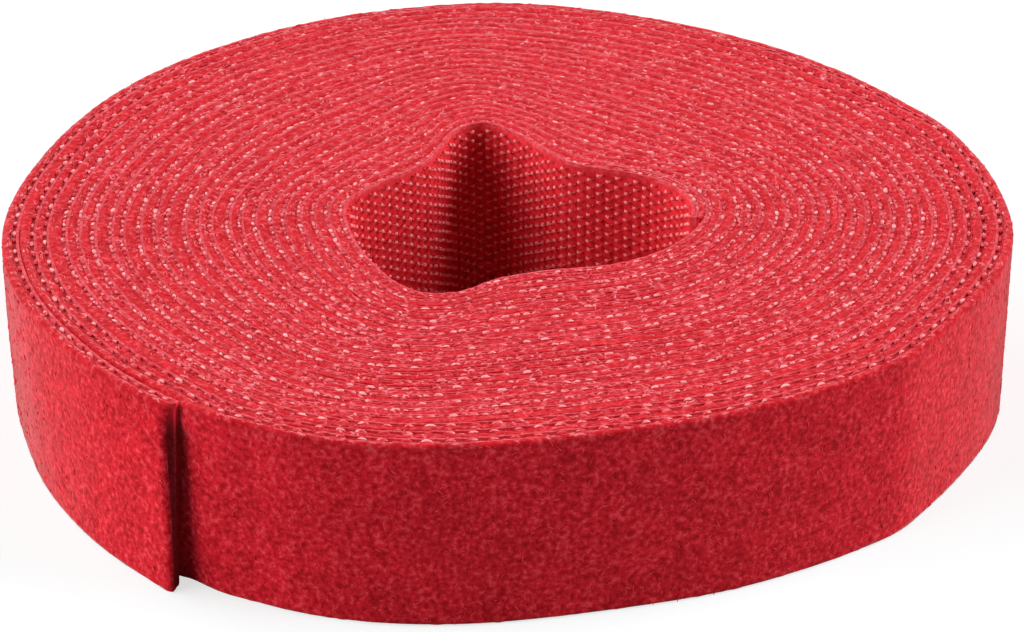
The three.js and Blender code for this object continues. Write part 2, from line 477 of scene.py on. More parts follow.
def balls(centres, axes):
    """Many small ellipsoids in metres. The rows of axes (items, 3, 3) are their half axes."""
    polar = math.pi * np.arange(1, BALL_RINGS + 1) / (BALL_RINGS + 1)
    around = FULL_TURN * np.arange(BALL_SEGMENTS) / BALL_SEGMENTS
    ring = np.stack([
        np.sin(polar)[:, None] * np.cos(around),
        np.sin(polar)[:, None] * np.sin(around),
        np.repeat(np.cos(polar)[:, None], BALL_SEGMENTS, 1),
    ], -1).reshape(-1, 3)
    unit = np.vstack([ring, [[0, 0, 1], [0, 0, -1]]])
    points = centres[:, None] + np.einsum("vk,ikc->ivc", unit, axes)
    index = np.arange(BALL_RINGS * BALL_SEGMENTS).reshape(BALL_RINGS, BALL_SEGMENTS)
    a, d = index[:-1], index[1:]
    quads = np.stack([a, d, np.roll(d, -1, 1), np.roll(a, -1, 1)], -1).reshape(-1, 4)
    top = np.full(BALL_SEGMENTS, len(ring))
    first, last = index[0], index[-1]
    tris = np.concatenate([
        np.stack([top, first, np.roll(first, -1)], -1),
        np.stack([top + 1, np.roll(last, -1), last], -1),
    ])
    offsets = (np.arange(len(centres)) * len(unit))[:, None, None]
    return points.reshape(-1, 3), [(quads + offsets).reshape(-1, 4), (tris + offsets).reshape(-1, 3)]


# Camera, at the photograph's height and distance

CAMERA_PLACE = (-0.44, -381.44, 211.69)
CAMERA_DOWN = math.radians(28.289)
CAMERA_RIGHT = math.radians(0.096)
CAMERA_LENS = 143.95


def make_camera():
    data = bpy.data.cameras.new("camera")
    data.lens = CAMERA_LENS
    data.sensor_width = 36
    data.clip_start = 0.01
    camera = bpy.data.objects.new("camera", data)
    camera.location = Vector(CAMERA_PLACE) * MM
    camera.rotation_euler = (math.pi / 2 - CAMERA_DOWN, 0, -CAMERA_RIGHT)
    bpy.context.scene.collection.objects.link(camera)
    bpy.context.scene.camera = camera


# Nodes of materials and of the world

def set_inputs(owner, node, inputs):
    """Gives inputs of a node of a material or world a value, or a link from another node's output."""
    for name, value in inputs.items():
        if isinstance(value, bpy.types.NodeSocket):
            owner.node_tree.links.new(value, node.inputs[name])
        else:
            node.inputs[name].default_value = value


def add_node(owner, kind, inputs, **settings):
    node = owner.node_tree.nodes.new(kind)
    for name, value in settings.items():
        setattr(node, name, value)
    set_inputs(owner, node, inputs)
    return node


def seen_by_camera(owner):
    """1 where the camera sees a thing itself, and 0 in its light on other things."""
    return add_node(owner, "ShaderNodeLightPath", {}).outputs["Is Camera Ray"]


def mix_colours(owner, share, a, b, blend="MIX"):
    inputs = {"Factor": share, "A": a, "B": b}
    return add_node(owner, "ShaderNodeMix", inputs, data_type="RGBA", blend_type=blend).outputs["Result"]


# Light and floor

# Each softbox: its name, the way towards it and its strength
SOFTBOXES = [
    ("left_front_softbox", (-0.95, -0.25, 0.45), 2.8),
    ("left_back_softbox", (-0.75, 0.60, 0.30), 2.8),
    ("right_softbox", (0.94, 0.17, 0.45), 4.2),
]
SOFTBOX_ANGLE = math.radians(60)
WORLD_LIGHT = (0.07, 0.07, 0.07, 1)
FLOOR_COLOUR = (0.33, 0.38, 0.38, 1)
FLOOR_GLOW = 0.68
FLOOR_HALF = 3.0
WHITE = (1, 1, 1, 1)


def softbox(name, towards_light, strength):
    """A wide, far softbox: a sun lamp with a large disc."""
    data = bpy.data.lights.new(name, "SUN")
    data.energy = strength
    data.angle = SOFTBOX_ANGLE
    light = bpy.data.objects.new(name, data)
    light.rotation_euler = Vector(towards_light).to_track_quat("Z", "Y").to_euler()
    bpy.context.scene.collection.objects.link(light)


def make_light():
    for name, towards_light, strength in SOFTBOXES:
        softbox(name, towards_light, strength)
    world = bpy.data.worlds.new("world")
    world.use_nodes = True
    colour = mix_colours(world, seen_by_camera(world), WORLD_LIGHT, WHITE)
    set_inputs(world, world.node_tree.nodes["Background"], {"Color": colour})
    bpy.context.scene.world = world


def make_floor():
    material = bpy.data.materials.new("floor")
    material.use_nodes = True
    inputs = {0: seen_by_camera(material), 1: FLOOR_GLOW}
    glow = add_node(material, "ShaderNodeMath", inputs, operation="MULTIPLY")
    set_inputs(material, material.node_tree.nodes["Principled BSDF"], {
        "Base Color": FLOOR_COLOUR, "Roughness": 0.9, "Specular IOR Level": 0.0,
        "Emission Color": WHITE, "Emission Strength": glow.outputs[0],
    })
    points = np.array([(-1, -1, 0), (1, -1, 0), (1, 1, 0), (-1, 1, 0)]) * FLOOR_HALF
    floor = mesh_object("floor", points, [np.array([[0, 1, 2, 3]])], material)


# Materials

UNTINTED = (1.0, 1.0, 1.0)
PILE_SHEEN_TINT = (1.0, 0.78, 0.78)
FIBRE_SHEEN_TINT = (1.0, 0.8, 0.8)
WEB_SHEEN_TINT = (1.0, 0.7, 0.7)
YARN_SHEEN_TINT = (1.0, 0.85, 0.85)


def new_material(name, roughness, specular, sheen=0.0, sheen_tint=UNTINTED, sheen_roughness=0.35):
    """A material with its shader and its texture coordinates in millimetres."""
    material = bpy.data.materials.new(name)
    material.use_nodes = True
    shader = material.node_tree.nodes["Principled BSDF"]
    set_inputs(material, shader, {
        "Roughness": roughness, "Specular IOR Level": specular,
        "Sheen Weight": sheen, "Sheen Tint": (*sheen_tint, 1), "Sheen Roughness": sheen_roughness,
    })
    return material, shader, object_mm(material)


def object_mm(material):
    coordinates = add_node(material, "ShaderNodeTexCoord", {})
    inputs = {0: coordinates.outputs["Object"], "Scale": 1 / MM}
    return add_node(material, "ShaderNodeVectorMath", inputs, operation="SCALE").outputs[0]


def noise_node(material, vector, scale, detail, roughness=0.6):
    """Noise with about scale bumps in a millimetre."""
    inputs = {"Vector": vector, "Scale": scale, "Detail": detail, "Roughness": roughness}
    return add_node(material, "ShaderNodeTexNoise", inputs).outputs["Fac"]


def colour_ramp(material, value, stops):
    node = add_node(material, "ShaderNodeValToRGB", {"Fac": value})
    ramp = node.color_ramp
    while len(ramp.elements) < len(stops):
        ramp.elements.new(0.5)
    for element, (position, colour) in zip(ramp.elements, stops):
        element.position = position
        element.color = (*colour, 1)
    return node.outputs["Color"]


def toned_material(name, stops, scale, detail, **look):
    """A material whose colour follows noise, with its shader and its texture coordinates."""
    material, shader, where = new_material(name, **look)
    tone = noise_node(material, where, scale, detail)
    set_inputs(material, shader, {"Base Color": colour_ramp(material, tone, stops)})
    return material, shader, where


def bump(material, shader, height, strength, distance):
    inputs = {"Height": height, "Strength": strength, "Distance": distance}
    node = add_node(material, "ShaderNodeBump", inputs)
    set_inputs(material, shader, {"Normal": node.outputs["Normal"]})


# Rims: how uneven their borders are, and how far down they reach, in mm
RIM_UNEVENNESS = 2.0
PILE_RIM_REACH = 1.6
CUT_RIM_REACH = 3.6


def rim_share(material, where, reach):
    """How near the tape's upper edge a place is, from 0 at the reach in mm to 1, with an uneven border."""
    height = add_node(material, "ShaderNodeSeparateXYZ", {0: where}).outputs["Z"]
    inputs = {0: noise_node(material, where, scale=0.9, detail=3), 1: RIM_UNEVENNESS, 2: height}
    uneven = add_node(material, "ShaderNodeMath", inputs, operation="MULTIPLY_ADD")
    highest = TAPE_WIDTH + RIM_UNEVENNESS / 2
    inputs = {"Value": uneven.outputs[0], "From Min": highest - reach, "From Max": highest}
    share = add_node(material, "ShaderNodeMapRange", inputs, interpolation_type="SMOOTHSTEP")
    return share.outputs["Result"]


def pile_material(name, stops, sheen, sheen_roughness, rim_stops=None):
    """Brushed loop pile: matted fibres with dark hollows and lighter ends. The rim can have its own stops."""
    look = {"sheen": sheen, "sheen_tint": PILE_SHEEN_TINT, "sheen_roughness": sheen_roughness}
    material, shader, where = new_material(name, roughness=0.9, specular=0.1, **look)
    matting = noise_node(material, where, scale=1.8, detail=3, roughness=0.55)
    felt = colour_ramp(material, matting, stops)
    if rim_stops:
        rim = colour_ramp(material, matting, rim_stops)
        felt = mix_colours(material, rim_share(material, where, PILE_RIM_REACH), felt, rim)
    patches = noise_node(material, where, scale=0.25, detail=3)
    shade = colour_ramp(material, patches, [(0.35, (0.84, 0.76, 0.78)), (0.62, (1.0, 1.0, 1.0))])
    set_inputs(material, shader, {"Base Color": mix_colours(material, 1.0, felt, shade, "MULTIPLY")})
    fibres = noise_node(material, where, scale=2.4, detail=3)
    bump(material, shader, fibres, strength=0.4, distance=0.2 * MM)
    return material


def fibre_and_sheen_material():
    """Single loops of fibre that stand proud of the pile, red to a pale pink that is painted sheen."""
    stops = [(0.38, (0.56, 0.012, 0.025)), (0.50, (0.70, 0.050, 0.070)), (0.62, (0.81, 0.21, 0.23))]
    look = {"roughness": 0.85, "specular": 0.1, "sheen": 0.14, "sheen_tint": FIBRE_SHEEN_TINT}
    material, _, _ = toned_material("fibre_and_painted_sheen", stops, scale=0.9, detail=2, **look)
    return material


def wall_fibre_material():
    """Fibres of the open pile, hardly lighter than the felt that they stand in."""
    stops = [(0.35, (0.66, 0.009, 0.022)), (0.65, (0.86, 0.05, 0.07))]
    look = {"roughness": 0.8, "specular": 0.1, "sheen": 0.25, "sheen_tint": FIBRE_SHEEN_TINT}
    material, _, _ = toned_material("pile_fibre", stops, scale=0.9, detail=2, **look)
    return material


def web_material():
    """Woven web of the hook ply, seen at the tape's edges."""
    stops = [(0.35, (0.54, 0.015, 0.026)), (0.5, (0.67, 0.042, 0.060)), (0.65, (0.76, 0.10, 0.13))]
    look = {"roughness": 0.55, "specular": 0.35, "sheen": 0.15, "sheen_tint": WEB_SHEEN_TINT}
    material, shader, where = toned_material("hook_web", stops, scale=1.6, detail=4, **look)
    weave = noise_node(material, where, scale=6.0, detail=3)
    bump(material, shader, weave, strength=0.5, distance=0.1 * MM)
    return material


def ground_material():
    """The hook web's face among the hooks, dark between them."""
    stops = [(0.35, (0.53, 0.012, 0.022)), (0.65, (0.84, 0.035, 0.050))]
    look = {"roughness": 0.7, "specular": 0.2}
    material, _, _ = toned_material("hook_ground", stops, scale=1.4, detail=3, **look)
    return material


COVERING_FIBRES = (0.76, 0.02, 0.036, 1)


def cut_shade_material():
    """Cut through plies and pile, its dark colour painted shade, covered by the pile's fibres near its upper
    end.
    """
    material, shader, where = new_material("cut_end_painted_shade", roughness=0.9, specular=0.1)
    tone = noise_node(material, where, scale=2.5, detail=3)
    dark = colour_ramp(material, tone, [(0.35, (0.15, 0.006, 0.010)), (0.65, (0.33, 0.012, 0.020))])
    covered = rim_share(material, where, CUT_RIM_REACH)
    set_inputs(material, shader, {"Base Color": mix_colours(material, covered, dark, COVERING_FIBRES)})
    return material


def bead_and_sheen_material():
    """Weft yarn where it turns back at the tape's edges, red with pale pink patches that are painted sheen.
    """
    stops = [(0.42, (0.62, 0.026, 0.042)), (0.50, (0.76, 0.09, 0.11)), (0.61, (0.93, 0.38, 0.39))]
    look = {"roughness": 0.8, "specular": 0.12, "sheen": 0.26, "sheen_tint": YARN_SHEEN_TINT}
    material, shader, where = toned_material("edge_yarn_and_painted_sheen", stops, scale=0.7, detail=3, **look)
    strands = noise_node(material, where, scale=7.0, detail=2)
    bump(material, shader, strands, strength=0.4, distance=0.08 * MM)
    return material


def hook_and_highlight_material():
    """Red monofilament of the hooks, painted pale pink all over to stand in for the highlights on their
    heads.
    """
    stops = [(0.35, (0.92, 0.14, 0.17)), (0.65, (0.98, 0.32, 0.34))]
    look = {"roughness": 0.6, "specular": 0.2}
    material, _, _ = toned_material("hook_filament_and_painted_highlight", stops, scale=0.8, detail=2, **look)
    return material


# The looks of the pieces. A stop of a colour ramp has its place and its colour.
EDGE_STOPS = [
    (0.34, (0.46, 0.005, 0.011)), (0.46, (0.60, 0.009, 0.019)),
    (0.55, (0.66, 0.016, 0.028)), (0.66, (0.71, 0.066, 0.080)),
]
PILE_STOPS = [
    (0.34, (0.43, 0.005, 0.012)), (0.45, (0.64, 0.009, 0.021)),
    (0.56, (0.77, 0.018, 0.034)), (0.68, (0.88, 0.06, 0.08)),
]
PILE = pile_material("loop_pile", PILE_STOPS, sheen=0.85, sheen_roughness=0.28, rim_stops=EDGE_STOPS)
PILE_EDGE = pile_material("loop_pile_edge", EDGE_STOPS, sheen=0.13, sheen_roughness=0.35)
FIBRE_AND_SHEEN = fibre_and_sheen_material()
WALL_FIBRE = wall_fibre_material()
WEB = web_material()
BEAD_AND_SHEEN = bead_and_sheen_material()
HOOK_AND_HIGHLIGHT = hook_and_highlight_material()
CUT_SHADE = cut_shade_material()
GROUND = ground_material()


# Pieces of the tape

# Extra steps beside a cut end, so that its rounding is smooth
STEPS_NEAR_CUT = np.array([0.05, 0.12, 0.22, 0.36, 0.54])

# Place and width, as shares of a turn, of where the edges are pressed flat
FLAT_PLACE = 0.25
FLAT_WIDTH = 0.16

# The channel between the webs along each edge: where it gets deeper, and how it closes towards a cut
DEEPENING_START = TURNS - 4
DEEPENING_TURNS = 2
CHANNEL_CLOSING_LENGTH = 1.2
CLOSED_CHANNEL_SHARE = 0.05
FLAT_CHANNEL_LOSS = 0.75

# How unevenly the turns stand: waves in their level, the width that the tape lacks at each edge, where both
# begin and end, and a ripple from bead to bead
LEVEL_WAVES = [(0.11, 0.06, 0.5), (3.17, 0.02, 0.0)]
EDGE_MARGIN = 0.02
INNER_EDGE_MARGIN = 0.10
LEVEL_START = 0.8
LEVEL_END = TURNS - 0.2
LAST_LEVEL_SHARE = 0.2
EDGE_RIPPLE = 0.03

# Bands are smooth where their sides meet at less than this angle
WEB_SHARP_DEGREES = 50
PILE_SHARP_DEGREES = 80


def steps_along(start, end, spacing):
    """Places a spacing apart, and closer together towards a cut end."""
    first, last = length_at(start), length_at(end)
    lengths = np.linspace(first, last, max(2, int(round((last - first) / spacing)) + 1))
    if end == TURNS:
        lengths = np.append(lengths, last - STEPS_NEAR_CUT)
    if start == 0:
        lengths = np.append(lengths, STEPS_NEAR_CUT)
    return t_at(np.unique(lengths))


def length_to_cut(t):
    return np.minimum(length_at(t), length_at(TURNS) - length_at(t))


def flat_share(t):
    """How nearly the edges are pressed flat: most at the back of the roll."""
    return bump_at(FIRST_TURN_SHARE + t, FLAT_PLACE, FLAT_WIDTH)


def channel_depth(t):
    """Depth of the channel between the two webs: deepest in the outer turns, almost none at a cut."""
    outer = np.clip((t - DEEPENING_START) / DEEPENING_TURNS, 0, 1)
    depth = CHANNEL_DEPTH + (OUTER_CHANNEL_DEPTH - CHANNEL_DEPTH) * outer
    open_share = np.clip(length_to_cut(t) / CHANNEL_CLOSING_LENGTH, CLOSED_CHANNEL_SHARE, 1)
    return depth * open_share * (1 - FLAT_CHANNEL_LOSS * flat_share(t))


def edges(t):
    """Heights of a turn's lower and upper edge. The turns aren't perfectly level with each other."""
    begun, ending = np.clip(t - LEVEL_START, 0, 1), np.clip(LEVEL_END - t, LAST_LEVEL_SHARE, 1)
    shift = wave_sum(t, LEVEL_WAVES) * begun * ending
    margin = EDGE_MARGIN + INNER_EDGE_MARGIN * begun * ending
    return margin + shift, TAPE_WIDTH - margin + shift


def hook_web(name, start, end, spacing, cut_shade_material=None):
    """The hook ply's web, with the floor of the channel between the two webs along each edge. Its face among
    the hooks has a look of its own."""
    t = steps_along(start, end, spacing)[:, None]
    hook_face, bond, _, _ = layers(t)
    low, high = edges(t)
    low, high = low + WEB_MARGIN, high - WEB_MARGIN
    inner = bond - CHANNEL_HALF_WIDTH * squeeze(t)
    outer = bond + CHANNEL_HALF_WIDTH * squeeze(t)
    offsets = np.concatenate([hook_face] * 4 + [inner, inner, outer, outer, inner, inner], 1)
    floor_low, floor_high = low + channel_depth(t), high - channel_depth(t)
    heights = np.concatenate([
        low, low + SELVEDGE, high - SELVEDGE, high,
        high, floor_high, floor_high, floor_low, floor_low, low,
    ], 1)
    heights += EDGE_RIPPLE * np.sin(FULL_TURN * length_at(t) / BEAD_SPACING)
    points = place(t, offsets, np.clip(heights, 0, TAPE_WIDTH))
    made = band_object(name, points, WEB, WEB_SHARP_DEGREES, cut_shade_material)
    made.data.materials.append(GROUND)
    steps, ring = offsets.shape
    for k in range(1, (steps - 1) * ring, ring):
        made.data.polygons[k].material_index = len(made.data.materials) - 1
    return made


def fluff_beside_end(t):
    """How far the open pile stands up at the top of the wall, where the outer end's cut leans on it."""
    near = bump_at(FIRST_TURN_SHARE + t, FLUFF_PLACE, FLUFF_WIDTH)
    return np.where(np.abs(t - (TURNS - 1)) < FLUFF_TURNS, FLUFF * near, 0)


# Steps of the pile along the tape in mm
PILE_STEP = 0.34
OPEN_PILE_STEP = 0.3

# Section of the pile: places across its top and bottom, and how far from the edges its wall's rows lie
TOP_SHARES = np.array([0.03, 0.20, 0.40, 0.60, 0.80, 0.97])
TOP_PROFILE = np.array([-0.08, -0.02, 0.0, -0.01, 0.0, 0.0])
OPEN_TOP_PROFILE = np.array([-0.10, -0.03, 0.0, -0.02, -0.06, -0.18])
BOTTOM_SHARES = np.array([0.85, 0.5, 0.15])
FIRST_ROW_DEPTH = 0.42
LAST_ROW_MARGIN = 0.12
COVERED_ROW_DEPTHS = np.array([0.4, 1.0, TAPE_WIDTH - 1.0, TAPE_WIDTH - 0.4])

# Rounding of the pile at a cut: its length, and the share of the pile that the cut leaves
ROUNDING_LENGTH = 0.9
CUT_PILE_SHARE = 0.25

# Roughness of the pile in mm: the sizes of its bumps and their heights, which differ where it lies open
FINE_BUMPS = 0.6
COARSE_BUMPS = 1.2
BUMP_SHARE = 0.6
COARSE_SHIFT = 31
OPEN_TOP_ROUGHNESS = 0.08
TOP_ROUGHNESS = 0.11
OPEN_WALL_ROUGHNESS = 0.04
WALL_ROUGHNESS = 0.03
BOTTOM_ROUGHNESS = 0.1
BOTTOM_LIFT = 0.04
HIGHEST_PILE = TAPE_WIDTH + 0.1


def loop_ply(name, start, end, open_rows=0, cut_shade_material=None):
    """Loop web and pile as one band with a rough top and bottom. Where no turn lies over it, open_rows is the
    number of rows of its rough wall."""
    if open_rows:
        spacing, material, top_profile = OPEN_PILE_STEP, PILE, OPEN_TOP_PROFILE
        top_roughness, wall_roughness = OPEN_TOP_ROUGHNESS, OPEN_WALL_ROUGHNESS
        depths = np.linspace(FIRST_ROW_DEPTH, TAPE_WIDTH - LAST_ROW_MARGIN, open_rows)
    else:
        spacing, material, top_profile = PILE_STEP, PILE_EDGE, TOP_PROFILE
        top_roughness, wall_roughness = TOP_ROUGHNESS, WALL_ROUGHNESS
        depths = COVERED_ROW_DEPTHS
    t = steps_along(start, end, spacing)[:, None]
    _, bond, root, pile = layers(t)
    low, high = edges(t)
    inner = bond + (CHANNEL_HALF_WIDTH + PLY_CLEARANCE) * squeeze(t)
    fluff = fluff_beside_end(t)
    tops, bottoms = root + (pile + fluff - root) * TOP_SHARES, root + (pile - root) * BOTTOM_SHARES
    wall_heights = high - depths / TAPE_WIDTH * (high - low)
    fluffed = np.clip(2 - depths / FLUFF_DEPTH, 0, 1)
    wall_offsets = pile + fluff * fluffed * fluffed * (3 - 2 * fluffed)
    hollow = np.clip(1 - length_to_cut(t) / ROUNDING_LENGTH, 0, 1)
    full = CUT_PILE_SHARE + (1 - CUT_PILE_SHARE) * np.sqrt(1 - hollow**2)
    tops, wall_offsets, bottoms = [root + (offset - root) * full for offset in (tops, wall_offsets, bottoms)]
    web_low, web_high = low + WEB_MARGIN, high - WEB_MARGIN
    offsets = np.concatenate([inner, inner, root, tops, wall_offsets, bottoms, root], 1)
    bottom_heights = np.repeat(low, len(BOTTOM_SHARES), 1)
    heights = np.concatenate([
        web_low, web_high, web_high, high + top_profile, wall_heights, bottom_heights, web_low,
    ], 1)
    at = place(t, offsets, heights) / MM
    rough = BUMP_SHARE * noise(at, FINE_BUMPS) + BUMP_SHARE * noise(at + COARSE_SHIFT, COARSE_BUMPS)
    top = slice(3, 3 + len(TOP_SHARES))
    wall = slice(top.stop, top.stop + len(depths))
    bottom = slice(wall.stop, wall.stop + len(BOTTOM_SHARES))
    heights[:, top] = np.minimum(heights[:, top] + top_roughness * rough[:, top], HIGHEST_PILE)
    lifted = heights[:, bottom] + BOTTOM_ROUGHNESS * rough[:, bottom] + BOTTOM_LIFT
    heights[:, bottom] = np.maximum(lifted, 0.0)
    offsets[:, wall] += wall_roughness * rough[:, wall]
    return band_object(name, place(t, offsets, heights), material, PILE_SHARP_DEGREES, cut_shade_material)


# Beads of weft yarn along the edges, in mm for a bead of size 1, and how they vary
BEAD_SPACING = 2.07
BEAD_MARGIN = 0.3
LAST_BEAD_MARGIN = 0.6
BEAD_SIZES = (0.8, 1.15)
SMALL_BEAD_SIZES = (0.5, 0.85)
SMALL_BEAD_SHARE = 0.85
BEAD_HALF_LENGTH = 0.56
BEAD_HALF_WIDTH = 0.27
BEAD_HALF_HEIGHT = 0.22
BEAD_RISE = 0.14
FLAT_BEAD_SINK = 0.10
BEAD_SCATTER = 0.08
BEAD_SIDE_SCATTER = 0.02
SMALL_BEAD_SIDEWAYS = 0.12
BEAD_TURN = 0.4
OUTER_BEAD_TURN_SHARE = 0.3
PLAIN_BEADS_START = TURNS - 3


def edge_beads(name, start, end, top):
    """Bumps of weft yarn along one edge, with smaller ones between them on top of the inner turns."""
    first, last = length_at(start), length_at(end)
    places = np.arange(math.ceil(first / BEAD_SPACING), last / BEAD_SPACING) * BEAD_SPACING
    sizes = rng.uniform(*BEAD_SIZES, len(places))
    if top:
        between = places[:-1] + BEAD_SPACING / 2
        between = between[(rng.random(len(between)) < SMALL_BEAD_SHARE) & (t_at(between) < PLAIN_BEADS_START)]
        places = np.append(places, between)
        sizes = np.append(sizes, rng.uniform(*SMALL_BEAD_SIZES, len(between)))
    places = places + rng.normal(0, BEAD_SCATTER, len(places))
    t = t_at(np.clip(places, first + BEAD_MARGIN, last - LAST_BEAD_MARGIN))
    along, outward = directions(t)
    _, bond, _, _ = layers(t)
    turn_share = np.where(t > PLAIN_BEADS_START, OUTER_BEAD_TURN_SHARE, 1)
    turned = rng.uniform(-BEAD_TURN, BEAD_TURN, len(t)) * turn_share
    length_way = along * np.cos(turned)[:, None] + outward * np.sin(turned)[:, None]
    width_way = outward * np.cos(turned)[:, None] - along * np.sin(turned)[:, None]
    high = BEAD_HALF_HEIGHT * sizes
    low_edge, high_edge = edges(t)
    inset = high + rng.uniform(-BEAD_RISE, 0.0, len(t)) + FLAT_BEAD_SINK * flat_share(t)
    height = np.minimum(high_edge - inset, TAPE_WIDTH - high) if top else np.maximum(low_edge + inset, high)
    scatter = rng.normal(0, BEAD_SIDE_SCATTER, len(t))
    small_scatter = rng.uniform(-SMALL_BEAD_SIDEWAYS, SMALL_BEAD_SIDEWAYS, len(t))
    centres = place(t, bond + (scatter + np.where(sizes < BEAD_SIZES[0], small_scatter, 0)), height)
    axes = np.stack([
        length_way * (BEAD_HALF_LENGTH * sizes)[:, None],
        width_way * (BEAD_HALF_WIDTH * sizes)[:, None],
        np.array([0, 0, 1.0]) * high[:, None],
    ], 1) * MM
    points, faces = balls(centres, axes)
    return mesh_object(name, points, faces, BEAD_AND_SHEEN)


# Hooks: at each point of their outline the reach along the tape in mm, the share of a hook's height and the
# share of its radius. A stub is what stays of a cut loop's other leg.
HOOK_COLUMN_SPACING = BEAD_SPACING / 2
HOOK_ROW_SPACING = 1.05
HOOK_ROWS = 19
HOOK_RADIUS = 0.10
HOOK_SHAPE = np.array([(-0.30, -0.06), (-0.26, 0.4), (-0.14, 0.78), (0.0, 0.94), (0.14, 0.80), (0.20, 0.56)])
HOOK_RADIUS_SHARES = np.array([0.9, 1.0, 1.4, 2.1, 1.5, 0.9])
HOOK_SIDES = 6
STUB_SHAPE = np.array([(0.32, -0.06), (0.30, 0.25)])
STUB_RADIUS_SHARE = 0.7
STUB_SIDES = 5
HOOK_MARGIN = 0.2
HOOK_EDGE_MARGIN = SELVEDGE + 0.1
HOOK_HEIGHT_SCATTER = 0.03
HOOK_COLUMN_SCATTER = 0.035


def standing_paths(t, height_above, facing, shape):
    """Paths that rise from the hook web in a hook's or a stub's shape."""
    along, outward = directions(t)
    hook_face, _, _, _ = layers(t)
    base = place(t, hook_face, height_above)
    reach = (facing[:, None] * shape[:, 0])[..., None] * along[:, None]
    rise = (HOOK_HEIGHT * squeeze(t)[:, None] * shape[:, 1])[..., None] * outward[:, None]
    return base[:, None] + (reach - rise) * MM


def hook_field(name, start, end):
    """Hooks in columns across the tape. Every other column is half a step higher and faces the other way."""
    first, last = length_at(start), length_at(end)
    margin = UPPER_CORNER_CUT if end == TURNS else HOOK_MARGIN
    first_column = math.ceil((first + HOOK_MARGIN) / HOOK_COLUMN_SPACING)
    columns = np.arange(first_column, (last - margin) / HOOK_COLUMN_SPACING)
    column, row = [side.ravel() for side in np.meshgrid(columns, np.arange(HOOK_ROWS))]
    odd = column % 2
    lowest = TAPE_WIDTH / 2 - HOOK_ROW_SPACING * (HOOK_ROWS - 0.5) / 2
    heights = lowest + HOOK_ROW_SPACING * (row + 0.5 * odd) + rng.normal(0, HOOK_HEIGHT_SCATTER, len(row))
    clear = heights < TAPE_WIDTH - HOOK_EDGE_MARGIN
    column, heights, odd = column[clear], heights[clear], odd[clear]
    t = t_at(column * HOOK_COLUMN_SPACING + rng.normal(0, HOOK_COLUMN_SCATTER, len(column)))
    facing = 1.0 - 2.0 * odd
    up = np.broadcast_to([0.0, 0.0, 1.0], (len(t), 3))
    paths = standing_paths(t, heights, facing, HOOK_SHAPE)
    points, faces = tubes(paths, up, np.tile(HOOK_RADIUS * HOOK_RADIUS_SHARES * MM, (len(t), 1)), HOOK_SIDES)
    stubs = standing_paths(t, heights, facing, STUB_SHAPE)
    stub_radii = np.full(stubs.shape[:2], STUB_RADIUS_SHARE * HOOK_RADIUS * MM)
    stub_points, stub_faces = tubes(stubs, up, stub_radii, STUB_SIDES)
    joined = faces + [stub_face + len(points) for stub_face in stub_faces]
    return mesh_object(name, np.concatenate([points, stub_points]), joined, HOOK_AND_HIGHLIGHT)


# Loops of fibre: the shares of their span and height at each point. Then the ranges of their spans, heights
# and radii in mm, over the edges and on the open wall.
FIBRE_SHAPE = np.array([(-0.5, -0.25), (-0.28, 0.75), (0.0, 1.0), (0.3, 0.7), (0.5, -0.25)])
EDGE_FIBRE_SIZES = [(0.4, 0.8), (0.02, 0.06), (0.10, 0.14)]
WALL_FIBRE_SIZES = [(0.3, 0.7), (0.01, 0.04), (0.035, 0.06)]
EDGE_FIBRE_SIDES = 4
WALL_FIBRE_SIDES = 3

# How fibres lie: how closely, how far they turn from the tape and reach across it, and how deep they sit
TOP_FIBRES_PER_MM = 2.4
BOTTOM_FIBRES_PER_MM = 1.0
WALL_FIBRES_PER_MM2 = 1.0
EDGE_FIBRE_TURN = 0.7
OUTER_FIBRE_TURN_SHARE = 0.35
EDGE_FIBRE_REACH = 0.95
OUTER_FIBRE_REACH = 0.65
EDGE_FIBRE_START = 0.1
EDGE_FIBRE_DEPTH = 0.1
WALL_FIBRE_DEPTH = 0.02
WALL_FIBRE_MARGIN = 0.3


def fibre_loops(name, bases, direction, normal, sizes, corner_count, material):
    """Many small loops, each with its middle, its direction and the way that it stands."""
    spans, heights, radii = [rng.uniform(least, most, len(bases)) * MM for least, most in sizes]
    paths = bases[:, None] + (spans[:, None] * FIBRE_SHAPE[:, 0])[..., None] * direction[:, None]
    paths = paths + (heights[:, None] * FIBRE_SHAPE[:, 1])[..., None] * normal[:, None]
    side = np.cross(direction, normal)
    points, faces = tubes(paths, side, np.broadcast_to(radii[:, None], paths.shape[:2]), corner_count)
    points[:, 2] = np.clip(points[:, 2], 0.0, None)
    return mesh_object(name, points, faces, material)


def edge_fibres(name, start, end, top):
    """Small loops of pile fibre lying over the top or bottom edge of the pile."""
    first, last = length_at(start), length_at(end)
    count = int((last - first) * (TOP_FIBRES_PER_MM if top else BOTTOM_FIBRES_PER_MM))
    t = t_at(rng.uniform(first, last, count))
    hook_face, _, root, pile = layers(t)
    widest = np.where(t > LAST_WALL, OUTER_FIBRE_REACH, EDGE_FIBRE_REACH)
    nearest = root + EDGE_FIBRE_START * (pile - root)
    nearest = nearest + (hook_face - nearest) * flat_share(t)
    offset = nearest + (root + (pile - root) * widest - nearest) * rng.random(count)
    low, high = edges(t)
    bases = place(t, offset, high - EDGE_FIBRE_DEPTH if top else low + EDGE_FIBRE_DEPTH)
    along, outward = directions(t)
    angle = rng.normal(0, EDGE_FIBRE_TURN, count) * np.where(t > LAST_WALL, OUTER_FIBRE_TURN_SHARE, 1)
    direction = along * np.cos(angle)[:, None] + outward * np.sin(angle)[:, None]
    normal = np.broadcast_to([0, 0, 1.0 if top else -1.0], (count, 3))
    return fibre_loops(name, bases, direction, normal, EDGE_FIBRE_SIZES, EDGE_FIBRE_SIDES, FIBRE_AND_SHEEN)


